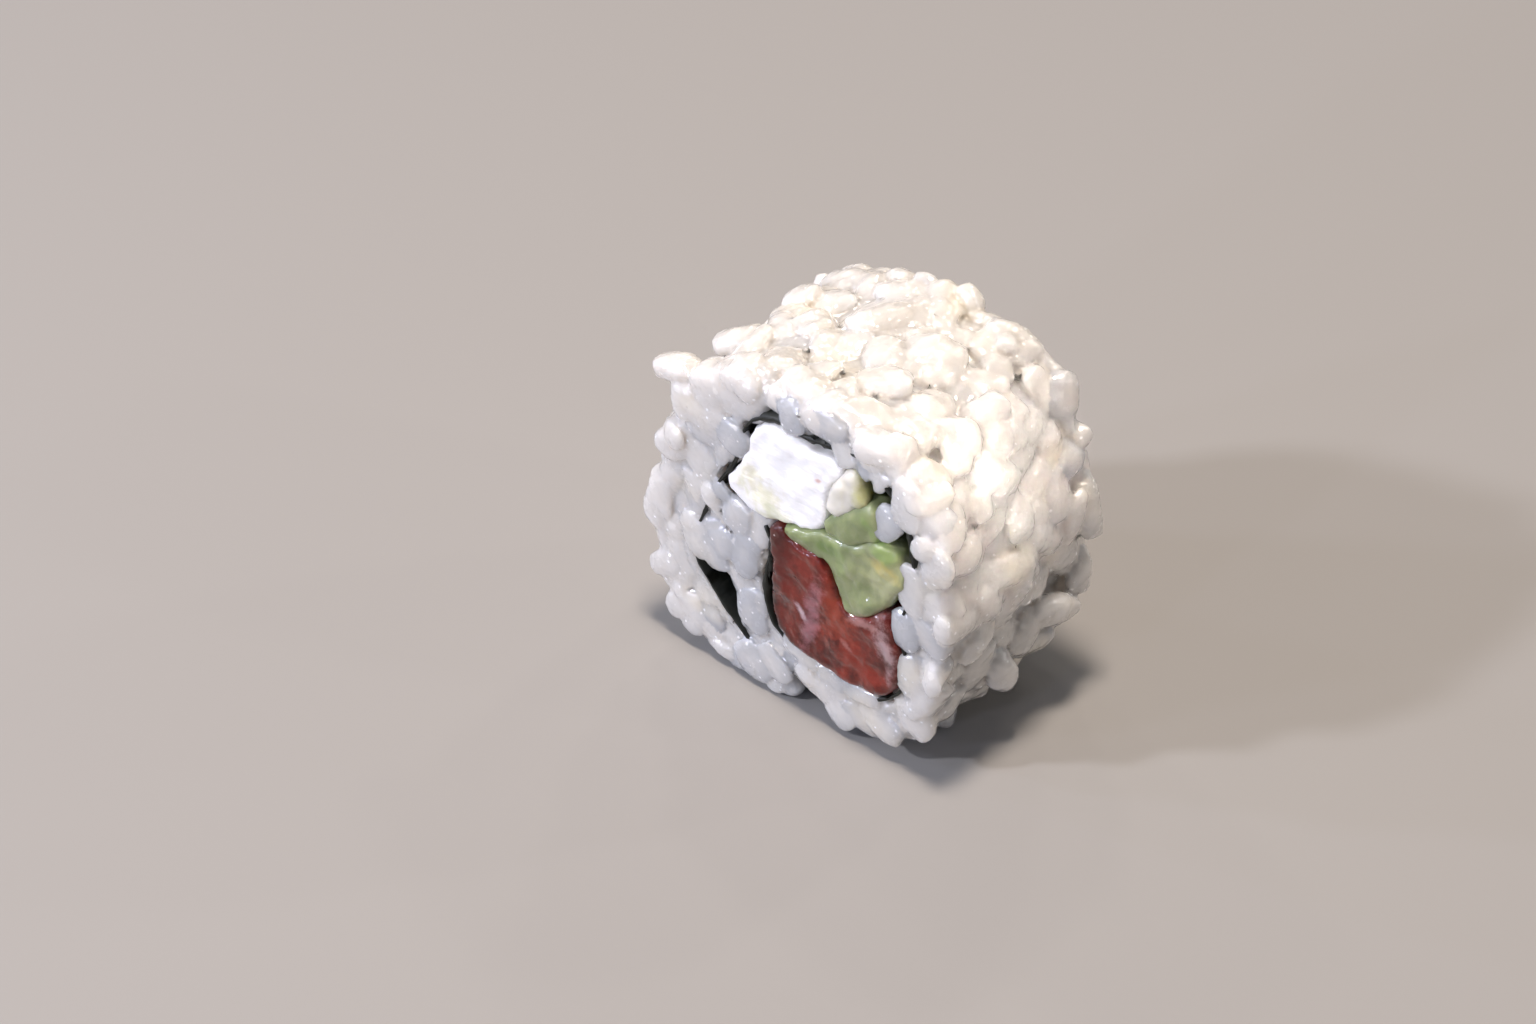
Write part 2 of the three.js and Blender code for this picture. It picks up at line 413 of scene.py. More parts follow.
# %% [markdown]
# ## Patches
#
# Smears, bruises and sinews lie at known places on the cut. A patch is an ellipse with its edge
# made ragged by noise; as it ignores Y it runs through the whole length of the filling.


# %% Ragged patches
RAGGEDNESS = 2.6


def patch(tree, ragged, place, middle, tilt, half_length, half_width, strength):
    """A mask for a soft ragged patch on the cut: middle (x, z) in mm, tilt from +X in degrees."""
    patch_space = add_node(
        tree,
        "ShaderNodeMapping",
        {
            "Vector": place,
            "Location": (middle[0] * MM, 0, middle[1] * MM),
            "Rotation": (0, math.radians(-tilt), 0),
            "Scale": (half_length * MM, 1e6, half_width * MM),
        },
        vector_type="TEXTURE",
    ).outputs["Vector"]
    inputs = {0: patch_space}
    away = add_node(tree, "ShaderNodeVectorMath", inputs, operation="LENGTH").outputs["Value"]
    edge = calculate(tree, "MULTIPLY_ADD", ragged, -RAGGEDNESS, away)
    return remap(tree, edge, -0.2, -1.1, 0.0, strength)


def tint_patches(tree, ragged, place, body, patches):
    """Lays patches of other colours over a colour, each with its place, size and strength."""
    for where, tint in patches:
        body = mix(tree, patch(tree, ragged, place, *where), body, tint)
    return body


# %% [markdown]
# ## Cream cheese
#
# Cream cheese is the whitest food here, dense and smooth, with a violet tint in its shade. The
# knife drags it, which leaves fine streaks running down to the right across the cut. Avocado has
# rubbed off on its lower left.

# %% Cream cheese material
cheese_material, tree, place = start_material("fresh_cream_cheese")
KNIFE_ANGLE = 38
along_cut = add_node(
    tree,
    "ShaderNodeMapping",
    {"Vector": place, "Rotation": (0, math.radians(KNIFE_ANGLE), 0), "Scale": (0.12, 1.0, 1.0)},
).outputs["Vector"]
drag = noise(tree, along_cut, 0.55, 3.0, 0.6)
curd = tint_patches(
    tree,
    noise(tree, place, 2.6, 3.0, 0.6),
    place,
    mix(tree, drag, "#FFFDFA", "#F6F3F2"),
    [
        (((-3.6, 27.2), -30, 4.6, 2.8, 0.7), "#DFDCB8"),
        (((-1.5, 25.0), -30, 5.5, 1.8, 0.6), "#D9DCC0"),
        (((5.6, 34.0), 60, 2.2, 1.2, 0.25), "#DDDCCB"),
        (((3.8, 33.2), 0, 0.45, 0.3, 0.6), "#D09080"),
    ],
)
finish_material(
    cheese_material,
    {
        "Base Color": curd,
        "Roughness": 0.42,
        "IOR": 1.4,
        "Subsurface Weight": 0.6,
        "Subsurface Radius": (1.0, 0.95, 0.95),
        "Subsurface Scale": 0.8 * MM,
        "Normal": bump(tree, drag, 0.7, 0.25),
    },
)

# %% [markdown]
# ## Avocado
#
# Ripe avocado is buttery and even, from yellow-green by the stone to deeper green under the skin.
# The cut surface is oily, so it has soft highlights, and it bruises to olive along edges.

# %% Avocado material
avocado_material, tree, place = start_material("ripe_avocado_flesh")
mottle = noise(tree, place, 3.0, 4.0, 0.6)
place_x = add_node(tree, "ShaderNodeSeparateXYZ", {"Vector": place}).outputs["X"]
by_the_stone = remap(tree, place_x, 4 * MM, 15 * MM, -0.2, 0.25, smooth=False)
ripeness = remap(tree, calculate(tree, "ADD", mottle, by_the_stone), 0.3, 0.75)
flesh = tint_patches(
    tree,
    mottle,
    place,
    mix(tree, ripeness, "#7C885D", "#949971"),
    [
        (((5.6, 25.2), 10, 2.6, 1.0, 0.8), "#66803F"),
        (((12.8, 28.6), 10, 2.4, 1.2, 0.6), "#77944A"),
        (((10.6, 31.4), -60, 2.6, 1.3, 0.8), "#7B9450"),
        (((13.2, 26.4), -20, 2.4, 0.9, 0.6), "#B9A95E"),
        (((13.0, 24.2), 30, 2.6, 1.8, 0.6), "#B7BA90"),
        (((7.0, 25.4), -80, 3.0, 0.8, 0.5), "#93A56C"),
    ],
)
finish_material(
    avocado_material,
    {
        "Base Color": flesh,
        "Roughness": 0.34,
        "IOR": 1.42,
        "Subsurface Weight": 0.6,
        "Subsurface Radius": (0.9, 1.0, 0.5),
        "Subsurface Scale": 1.2 * MM,
        "Coat Weight": 0.6,
        "Coat Roughness": 0.1,
        "Normal": bump(tree, mottle, 0.4, 0.3),
    },
)

# %% [markdown]
# The topmost slice is smeared with cheese. Only its far edge, by the skin, still shows green, so
# its colour changes along X, with noise to make the border wander.

# %% Smeared avocado material
lobe_material, tree, place = start_material("avocado_smeared_with_cheese")
place_x = add_node(tree, "ShaderNodeSeparateXYZ", {"Vector": place}).outputs["X"]
drift = noise(tree, place, 2.0, 3.0, 0.6)
wander = calculate(tree, "MULTIPLY_ADD", drift, 2.4 * MM, place_x)
rim = remap(tree, wander, 9.2 * MM, 11.0 * MM)
finish_material(
    lobe_material,
    {
        "Base Color": mix(tree, rim, "#DAD6CA", "#AFAE7F"),
        "Roughness": 0.35,
        "IOR": 1.42,
        "Subsurface Weight": 0.8,
        "Subsurface Radius": (1.0, 1.0, 0.8),
        "Subsurface Scale": 2.0 * MM,
        "Coat Weight": 0.4,
        "Coat Roughness": 0.1,
    },
)

# %% [markdown]
# ## Tuna
#
# Raw lean tuna is brick red and wet. Along its left side and at its top left it is darker and
# browner, in places nearly black, and pale lines of sinew run through the bar. Near-white beads of
# water are painted on it as glints, and its wet coat ripples, so that the lamps break into short
# glints.

# %% Tuna material
tuna_material, tree, place = start_material("raw_lean_tuna")
marbling = noise(tree, place, 2.4, 5.0, 0.65)
muscle = remap(tree, marbling, 0.34, 0.66, smooth=False)
meat = tint_patches(
    tree,
    marbling,
    place,
    mix(tree, muscle, "#4A1611", "#7A291E"),
    [
        (((6.5, 16.5), 80, 5.5, 3.0, 0.65), "#953B25"),
        (((9.5, 11.5), -35, 7.0, 3.2, 0.55), "#8E3020"),
        (((-1.8, 19.0), 80, 6.0, 2.2, 0.6), "#4A1A18"),
        (((-2.4, 22.4), 60, 3.4, 2.4, 0.8), "#3A1510"),
        (((-3.0, 13.0), 85, 6.5, 1.7, 0.9), "#1E0C0B"),
        (((-0.5, 10.0), -40, 5.0, 1.2, 0.8), "#2A1110"),
        (((3.0, 13.4), 80, 7.5, 1.3, 0.55), "#B08088"),
        (((2.0, 14.4), -50, 1.5, 0.6, 0.7), "#D0BABF"),
        (((13.6, 15.5), 105, 5.0, 1.5, 0.75), "#B39A9A"),
        (((10.2, 17.6), 10, 3.5, 0.6, 0.6), "#B08680"),
        (((8.0, 13.4), -30, 1.2, 0.5, 0.5), "#B07C74"),
    ],
)
# painted glints: near-white beads of water drawn into the colour
meat = mix(tree, bead_and_painted_glint_mask(tree, place, marbling, 1.1, 0.55), meat, "#F4E6E2")
finish_material(
    tuna_material,
    {
        "Base Color": meat,
        "Roughness": 0.3,
        "Specular IOR Level": 0.1,
        "Subsurface Weight": 0.3,
        "Subsurface Radius": (1.0, 0.25, 0.2),
        "Subsurface Scale": 1.0 * MM,
        "Coat Weight": 1.0,
        "Coat IOR": 1.4,
        "Coat Roughness": 0.08,
        "Coat Normal": bump(tree, noise(tree, place, 1.1, 1.0, 0.5), 1.0, 0.35),
    },
)

# %% [markdown]
# ## A soft piece from a CAD solid
#
# The CAD solids have the right place and outline, but the faceted skin of a technical model. Each
# soft piece starts as a copy: its loose triangles are merged, a voxel remesh gives it an even skin,
# it swells a little so that neighbours press on each other, and slow noise makes the cut uneven.


# %% Copy and remesh
def copy_of(node, name):
    """A merged copy of a CAD node's mesh as a new object."""
    copy = bpy.data.objects.new(name, frame["nodes"][node].data.copy())
    copy.data.materials.clear()
    bpy.context.scene.collection.objects.link(copy)
    select_only(copy)
    bpy.ops.object.mode_set(mode="EDIT")
    bpy.ops.mesh.select_all(action="SELECT")
    bpy.ops.mesh.remove_doubles(threshold=0.001 * MM)
    bpy.ops.mesh.normals_make_consistent(inside=False)
    bpy.ops.object.mode_set(mode="OBJECT")
    bpy.ops.mesh.customdata_custom_splitnormals_clear()
    return copy


def remesh(piece, voxel):
    """Gives the piece one even closed skin of small squares, and keeps its attributes."""
    select_only(piece)
    piece.data.remesh_voxel_size = voxel * MM
    piece.data.use_remesh_preserve_attributes = True
    bpy.ops.object.voxel_remesh()


# %% Swell, soften and make uneven
def swell(piece, amount, group=""):
    """Moves the skin outwards by an amount in mm, or inwards if it is negative."""
    apply_modifier(piece, "DISPLACE", strength=amount * MM, mid_level=0, vertex_group=group)


def soften(piece, rounds, factor=0.5):
    apply_modifier(piece, "SMOOTH", iterations=rounds, factor=factor)


def uneven(piece, size, height, seed, stretch=(1, 1, 1), turn=(0, 0, 0)):
    """Pushes the skin in and out by noise of a size and height in mm, stretched and turned."""
    deselect_all()
    bpy.ops.object.empty_add(location=(seed * 7.3 * MM, seed * 3.1 * MM, seed * 5.7 * MM))
    space = bpy.context.object
    space.rotation_euler = [math.radians(angle) for angle in turn]
    space.scale = [s * MM for s in stretch]
    bpy.context.view_layer.update()
    clouds = bpy.data.textures.new(piece.name + "_noise", "CLOUDS")
    clouds.noise_scale = size
    clouds.noise_depth = 2
    apply_modifier(
        piece,
        "DISPLACE",
        texture=clouds,
        texture_coords="OBJECT",
        texture_coords_object=space,
        strength=height * MM,
        mid_level=0.5,
    )
    bpy.data.objects.remove(space)
    bpy.data.textures.remove(clouds)


# %% Finish a piece
def finish_piece(piece, material, slot, *nodes):
    """Smooth shading, material, and the piece's place in the frame."""
    select_only(piece)
    bpy.ops.object.shade_smooth()
    piece.data.materials.clear()
    piece.data.materials.append(material)
    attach(piece, "root")
    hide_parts(*nodes)
    triangles = sum(len(face.vertices) - 2 for face in piece.data.polygons)
    print(f"{piece.name}: {triangles} triangles")


# %% [markdown]
# ## Fillings
#
# The cheese is a firm block with crumbly edges, and the knife's streaks are also cut into it a
# little. The avocado is three soft slices pressed together. The tuna is a limp bar that sags into
# the bottom of the roll. The cheese hardly swells, while the softer avocado and tuna swell by about
# half a millimetre and are smoothed more.

# %% Cream cheese block
FILLING_VOXEL = 0.3
cheese = copy_of("cream_cheese", "cream_cheese_block")
remesh(cheese, FILLING_VOXEL)
swell(cheese, 0.2)
uneven(cheese, 3.0, 0.9, seed=1)
uneven(cheese, 0.7, 0.35, seed=2, stretch=(7, 1, 1), turn=(0, KNIFE_ANGLE, 0))
soften(cheese, 1)
finish_piece(cheese, cheese_material, "cream_cheese", "cream_cheese")

# %% Avocado slices
for count, node in enumerate(["avocado_top", "avocado_middle", "avocado_bottom"]):
    avocado = copy_of(node, node + "_slice")
    remesh(avocado, FILLING_VOXEL)
    swell(avocado, 0.55)
    uneven(avocado, 2.4, 1.2, seed=3 + count)
    soften(avocado, 2)
    finish = lobe_material if node == "avocado_top" else avocado_material
    finish_piece(avocado, finish, "avocado", node)

# %% Tuna bar
tuna = copy_of("tuna", "tuna_bar")
remesh(tuna, FILLING_VOXEL)
swell(tuna, 0.45)
uneven(tuna, 3.0, 1.0, seed=7)
soften(tuna, 3)
finish_piece(tuna, tuna_material, "tuna", "tuna")

# %% [markdown]
# ## Nori sheet
#
# The sheet is a thin ribbon that winds round the fillings and runs out between two layers of rice.
# A voxel remesh would eat so thin a thing, so it is subdivided instead and crinkled by noise. On
# the front face the rice stands off from the fillings in a few dark hollows, each with its place
# (x, z) and radius in millimetres. There the sheet swells and steps back a little: the thicker
# dark sheet is real nori, and it also stands in for part of the shade in the mouths of the hollows.

# %% Nori sheet
HOLLOWS = [
    # round the cheese and down the right of the fillings
    (-3.2, 37.6, 1.5),
    (4.0, 37.4, 1.8),
    (9.4, 36.4, 1.2),
    (11.4, 34.6, 2.2),
    (14.6, 30.6, 2.0),
    (15.6, 25.0, 1.2),
    # left of the cheese and left of the tuna
    (-9.0, 27.8, 0.6),
    (-3.6, 20.5, 0.9),
    (-3.3, 18.0, 1.1),
    (-3.6, 15.2, 1.0),
]
HOLLOW_BACK = -9.0
MOUTH_SWELL = 0.4
MOUTH_STEP = 0.4


def darken_mouth(x, z, reach):
    """Swells the sheet at the mouth of one hollow, and steps it back from the cut; the dark sheet
    stands in for part of the shade there.
    """
    select_vertices(nori, lambda v: v.y < HOLLOW_BACK and math.hypot(v.x - x, v.z - z) < reach)
    bpy.ops.transform.shrink_fatten(value=MOUTH_SWELL * MM)
    bpy.ops.transform.translate(value=(0, MOUTH_STEP * MM, 0))
    bpy.ops.object.mode_set(mode="OBJECT")


nori = copy_of("nori", "nori_sheet")
apply_modifier(nori, "SUBSURF", subdivision_type="SIMPLE", levels=2, render_levels=2)
uneven(nori, 2.0, 0.35, seed=11)
for hollow in HOLLOWS:
    darken_mouth(*hollow)
finish_piece(nori, nori_material, "nori", "nori")

# %% [markdown]
# ## Grains of rice
#
# A cooked grain is about 7 mm long and 3.5 mm wide: blunt at both ends, slightly bent, with a small
# hollow at one end where the germ was. Some are plump, some taper, and some broke in the pan. Five
# grains are modelled from a sphere of 56 faces, and all the others are copies of them, turned,
# stretched and sunk in.


# %% Tools for one grain
def start_grain(name, length, width, height):
    """A grain with rounded ends lying along X, in edit mode. Smoothing later takes a tenth off."""
    deselect_all()
    bpy.ops.mesh.primitive_uv_sphere_add(
        segments=8, ring_count=7, radius=0.5 * MM, rotation=(0, math.pi / 2, 0)
    )
    grain = bpy.context.object
    grain.name = name
    bpy.ops.object.transform_apply(location=False, rotation=True, scale=False)
    bpy.ops.object.mode_set(mode="EDIT")
    bpy.ops.mesh.select_all(action="SELECT")
    size = (1.06 * length, 1.12 * width, 1.12 * height)
    bpy.ops.transform.resize(value=size, center_override=(0, 0, 0))
    stretch_vertices(grain, lambda v: 0.37 * length < abs(v.x) < 0.5 * length, (1.0, 1.45, 1.4))
    stretch_vertices(grain, lambda v: 0.25 * length < abs(v.x) < 0.37 * length, (1.0, 1.12, 1.1))
    return grain


def push(grain, where, reach, shift):
    """Moves the vertex nearest a place, and drags its neighbours along within reach, in mm."""
    bpy.ops.object.mode_set(mode="OBJECT")
    nearest = min(grain.data.vertices, key=lambda v: (v.co / MM - Vector(where)).length)
    spot = nearest.co / MM
    select_vertices(grain, lambda v: (v - spot).length < 0.01)
    bpy.ops.transform.translate(
        value=[s * MM for s in shift],
        use_proportional_edit=True,
        proportional_edit_falloff="SMOOTH",
        proportional_size=reach * MM,
    )


def end_grain(roughness, seed):
    """A little unevenness all over, and back to object mode."""
    bpy.ops.mesh.select_all(action="SELECT")
    bpy.ops.transform.vertex_random(offset=roughness * MM, seed=seed)
    bpy.ops.object.mode_set(mode="OBJECT")


# %% Five grains
plain = start_grain("grain_plain", 7.0, 3.9, 2.8)
push(plain, (3.5, 0, 0), 3.2, (0, 0.4, -0.1))
push(plain, (-3.5, 0, 0), 3.2, (0, 0.4, 0.1))
end_grain(0.2, 1)

plump = start_grain("grain_plump", 5.8, 4.3, 3.1)
push(plump, (2.6, 1.2, 0), 1.6, (-0.6, -0.4, 0))
push(plump, (-2.6, 0, 1), 2.0, (0.2, 0, -0.4))
end_grain(0.25, 2)

tapered = start_grain("grain_tapered", 6.8, 4.0, 2.9)
stretch_vertices(tapered, lambda v: v.x > 0.9, (1.0, 0.88, 0.9))
stretch_vertices(tapered, lambda v: v.x > 2.0, (0.95, 0.85, 0.85))
push(tapered, (3.5, 0, 0), 3.0, (0, 0.4, 0.1))
end_grain(0.18, 3)

broken = start_grain("grain_broken", 4.6, 4.0, 2.9)
stretch_vertices(broken, lambda v: v.x > 1.2, (0.8, 1.25, 1.2))
push(broken, (1.8, 1, 0.8), 1.2, (0.3, 0.1, 0))
end_grain(0.28, 4)

burst = start_grain("grain_burst", 7.2, 3.8, 2.7)
push(burst, (0.8, 1.6, 0), 1.8, (0, 0.4, -0.2))
push(burst, (-3.6, 0, 0), 2.6, (0, -0.5, 0.2))
push(burst, (3.4, 0.8, 0.4), 1.5, (0.2, 0.4, 0.3))
end_grain(0.28, 5)

GRAINS = [plain, plump, tapered, broken, burst]
for grain, share in zip(GRAINS, (5, 3, 3, 2, 3)):
    grain["length"] = grain.dimensions.x / MM
    grain["share"] = share
print("grain lengths in mm:", {grain.name: round(grain["length"], 1) for grain in GRAINS})

# %% [markdown]
# ## Where the grains go
#
# The CAD rice is the mass of rice out to its uneven outline. A smoothed copy of it is the skin that
# the rolling mat pressed. Grains are thrown at random on that skin and kept only if none lies too
# near, as when grains settle side by side. On the rolled outside they lie flat, turned every way;
# on the cut faces the knife went through some of them.

# %% The pressed skin
MASS_VOXEL = 0.6
mass = copy_of("rice", "rice_mass")
remesh(mass, MASS_VOXEL)
soften(mass, 10)


def skin_tree(mesh):
    """A search tree over a mesh's faces, for nearest points and rays."""
    corners = [vertex.co for vertex in mesh.vertices]
    return BVHTree.FromPolygons(corners, [list(face.vertices) for face in mesh.polygons])


mass_tree = skin_tree(mass.data)
nori_tree = skin_tree(frame["nodes"]["nori"].data)
print("pressed skin:", len(mass.data.polygons), "faces")

# %% What lies near a place
# The roll was wound round this axis, which runs along Y.
AXIS = Vector((3.0, 0.0, 22.0))


def outward_from_axis(spot):
    return Vector((spot.x - AXIS.x, 0, spot.z - AXIS.z))


def nori_gap(spot):
    return nori_tree.find_nearest(spot * MM)[3] / MM


def in_hollow(spot, margin):
    """Whether a place in mm lies in one of the dark hollows of the front face."""
    if spot.y > HOLLOW_BACK - 0.5:
        return False
    return any(math.hypot(spot.x - x, spot.z - z) < reach + margin for x, z, reach in HOLLOWS)


def is_inside(spot):
    """Whether a place in mm lies in the mass, or less than half a millimetre outside it."""
    near, normal, _, _ = mass_tree.find_nearest(spot * MM)
    return (spot * MM - near).dot(normal) < 0.5 * MM


def is_enclosed(spot, normal):
    """Whether nori or more rice lies within a few mm outside this place."""
    start = (spot + normal * 0.3) * MM
    return (
        nori_tree.ray_cast(start, normal, 7 * MM)[0] is not None
        or mass_tree.ray_cast(start, normal, 5 * MM)[0] is not None
    )


print("hollows to nori:", [round(nori_gap(Vector((x, -12.5, z))), 1) for x, z, _ in HOLLOWS])

# %% Chance
SEED = 23
NEAR_END = 2.6
dice = random.Random(SEED)


def random_places(count):
    """Random places in mm on the skin of the mass, with their outward normals."""
    mesh = mass.data
    mesh.calc_loop_triangles()
    triangles = mesh.loop_triangles
    areas = [triangle.area for triangle in triangles]
    for triangle in dice.choices(triangles, weights=areas, k=count):
        a, b, c = (mesh.vertices[i].co / MM for i in triangle.vertices)
        u, v = sorted((dice.random(), dice.random()))
        yield a * u + b * (v - u) + c * (1 - v), triangle.normal.copy()


def across(normal):
    """A random direction square to the normal."""
    while True:
        heading = Vector([dice.gauss(0, 1) for _ in range(3)])
        heading -= normal * heading.dot(normal)
        if heading.length > 0.3:
            return heading.normalized()


def heading_within(spot, normal):
    """A random heading that keeps both ends of a grain in the mass, if one is soon found."""
    for _ in range(12):
        heading = across(normal)
        if all(is_inside(spot + heading * end) for end in (NEAR_END, -NEAR_END)):
            break
    return heading


def random_size():
    """How far a grain is stretched along its length, width and height; some are mirrored."""
    plumpness = dice.uniform(0.9, 1.14)
    mirror = dice.choice((-1, 1))
    return (
        dice.uniform(0.85, 1.12),
        mirror * plumpness * dice.uniform(0.94, 1.08),
        plumpness * dice.uniform(0.9, 1.05),
    )


print("every run starts from seed", SEED, "and lays the same grains")

# %% Keep grains apart
KIND_SPACING = 6.5
copies = {grain.name: [] for grain in GRAINS}
laid = []


class Crowd:
    """Keeps places apart: a place is taken only if no other lies within the spacing."""

    def __init__(self):
        self.places = np.empty((0, 3))

    def takes(self, spot, spacing):
        if len(self.places) and np.linalg.norm(self.places - spot, axis=1).min() < spacing:
            return False
        self.places = np.vstack([self.places, spot])
        return True


def choose_kind(spot):
    """A kind none of which lies near: grains of one piece shouldn't cut into each other."""
    nearest = {}
    for grain in sorted(GRAINS, key=lambda grain: dice.random() / grain["share"]):
        gaps = [(spot - other).length for other, kind in laid if kind == grain.name]
        nearest[grain] = min(gaps, default=math.inf)
        if nearest[grain] > KIND_SPACING:
            return grain
    return max(nearest, key=nearest.get)

# %% [markdown]
# Each copy carries two values on its vertices. One is its tone, chalkier in the middle of the grain
# and glassier towards its rim, and on the cut greyer low down as painted shade; the rice material
# reads it. The other says whether it lies loose, for loose grains are pressed flat less than the
# others later on.


# %% Put one grain in place
def set_values(mesh, name, values):
    """One number for every vertex, which a material or a later step can read."""
    mesh.attributes.new(name, "FLOAT", "POINT").data.foreach_set("value", values)


def place_grain(kind, spot, normal, heading, lift, size, tone_and_shade_value, is_loose=0.0):
    """A copy of a grain: its middle at spot, its flat side to normal, its length along heading."""
    along = (heading - normal * heading.dot(normal)).normalized()
    along = (along * math.cos(lift) + normal * math.sin(lift)).normalized()
    side = normal.cross(along).normalized()
    up = along.cross(side)
    turn = Matrix((along, side, up)).transposed().to_4x4()
    copy = bpy.data.objects.new("grain", kind.data.copy())
    bpy.context.scene.collection.objects.link(copy)
    scale = Matrix.Diagonal((*size, 1.0))
    copy.data.transform(Matrix.Translation(spot * MM) @ turn @ scale)
    if size[1] < 0:
        copy.data.flip_normals()
    reach = kind.dimensions / 2
    rims = [math.hypot(v.co.x / reach.x, v.co.y / reach.y) for v in kind.data.vertices]
    set_values(copy.data, GRAIN_TONE_AND_SHADE, [tone_and_shade_value + 0.35 * (rim - 0.6) for rim in rims])
    set_values(copy.data, "is_loose", [is_loose] * len(rims))
    copies[kind.name].append(copy)
    laid.append((spot, kind.name))


def lay_grain(kind, start, end, width, tone_and_shade_value):
    """A grain laid from one place to another, its flat side turned away from the roll's axis."""
    start, end = Vector(start), Vector(end)
    middle = (start + end) / 2
    along = (end - start).normalized()
    outward = outward_from_axis(middle)
    if abs(middle.y) > HALF_LENGTH - 1.5:
        outward = Vector((0, math.copysign(1, middle.y), 0))
    normal = (outward - along * outward.dot(along)).normalized()
    stretch = (end - start).length / kind["length"]
    place_grain(kind, middle, normal, along, 0, (stretch, width, width), tone_and_shade_value, is_loose=1.0)


# %% [markdown]
# The grains are thrown in two layers: the outer ones first and far apart, then smaller gaps are
# filled from deeper down. On the cut faces they sink in further, because the knife took their
# tops, and they keep off the nori and the hollows. Inside a gap of the roll they stay away from
# its mouth. The cut is glassier than the outside, and glassier and greyer still low down, which is
# painted shade.

# %% Throw grains on the skin
# throws, spacing in mm, least and most depth in mm
LAYERS = [(3000, 4.8, 0.8, 1.3), (9000, 3.2, 1.4, 2.0)]
CUT_NORMAL = 0.75
CUT_CROWDING = 0.94
CUT_SINK = 0.5
NORI_MARGIN = 2.0
HOLLOW_MARGIN = 1.2
MOUTH_DEPTH = 2.5
OUTSIDE_GLASSINESS = 0.45


def glassiness_with_low_shade(spot):
    """How glassy a grain of the cut may be: more so low down, which greys the lower cut as painted
    shade.
    """
    return 1.15 - 0.7 * spot.z / ROLL_HEIGHT


crowd = Crowd()
for throws, spacing, least, most in LAYERS:
    for spot, normal in random_places(throws):
        on_cut = abs(normal.y) > CUT_NORMAL
        faces_out = normal.dot(outward_from_axis(spot).normalized()) > 0.1
        if not (on_cut or faces_out) or (on_cut and nori_gap(spot) < NORI_MARGIN):
            continue
        if in_hollow(spot, HOLLOW_MARGIN):
            continue
        if not crowd.takes(spot, spacing * (CUT_CROWDING if on_cut else 1.0)):
            continue
        enclosed = not on_cut and is_enclosed(spot, normal)
        if enclosed and abs(spot.y) > HALF_LENGTH - MOUTH_DEPTH:
            continue
        within = on_cut or enclosed
        middle = spot - normal * (dice.uniform(least, most) + (CUT_SINK if within else 0))
        heading = heading_within(middle, normal) if within else across(normal)
        lift = math.radians(dice.gauss(0, 12 if on_cut else 9))
        # on the cut the tone grows greyer low down, which is painted shade
        tone_and_shade_value = dice.random() * (glassiness_with_low_shade(spot) if within else OUTSIDE_GLASSINESS)
        size = random_size()
        place_grain(choose_kind(middle), middle, normal, heading, lift, size, tone_and_shade_value)
    print(len(laid), "grains laid")

# %% [markdown]
# At the cut, the grains against the nori lie along it and lap over its edge, so that only stretches
# of its dark line are seen. They keep a little further off where the sheet faces a gap of the roll,
# and all along the far cut.

# %% Grains along the edge of the nori
EDGE_FROM = 12.6
EDGE_SPACING = 3.5
OFF_GAP = 0.7
OFF_FAR_CUT = 0.4
sheet = frame["nodes"]["nori"].data.vertices
edge_crowd = Crowd()
for side in (-1, 1):
    edge = [v.co / MM for v in sheet if v.co.y * side > EDGE_FROM * MM]
    dice.shuffle(edge)
    for spot in edge:
        if in_hollow(spot, HOLLOW_MARGIN) or not edge_crowd.takes(spot, EDGE_SPACING):
            continue
        outward = outward_from_axis(spot).normalized()
        along = Vector((-outward.z, 0, outward.x))
        inward_start = (spot - outward * 0.6) * MM
        faces_gap = mass_tree.ray_cast(inward_start, -outward, 7 * MM)[0] is not None
        off = dice.uniform(1.2, 1.7) + (OFF_GAP if faces_gap else 0)
        middle = spot + outward * (off + (OFF_FAR_CUT if side > 0 else 0))
        middle.y = side * (HALF_LENGTH - dice.uniform(1.7, 2.3))
        heading = along + outward * dice.gauss(0, 0.15 if faces_gap else 0.5)
        place_grain(
            choose_kind(middle),
            middle,
            Vector((0, side, 0)),
            heading,
            math.radians(dice.gauss(0, 6)),
            random_size(),
            # greyer low down on the cut: painted shade
            dice.uniform(0.25, 1.0) * glassiness_with_low_shade(spot),
        )
print(len(laid), "grains with those at the nori's edge")

# %% [markdown]
# ## Grains that stand out
#
# Where the roll was cut and handled, grains came loose and stick out or hang over the fillings.
# They give the slice its ragged outline. Each is laid from one end to the other, in
# millimetres in the frame of the model, with its width and its tone, from chalky 0 to glassy 1.

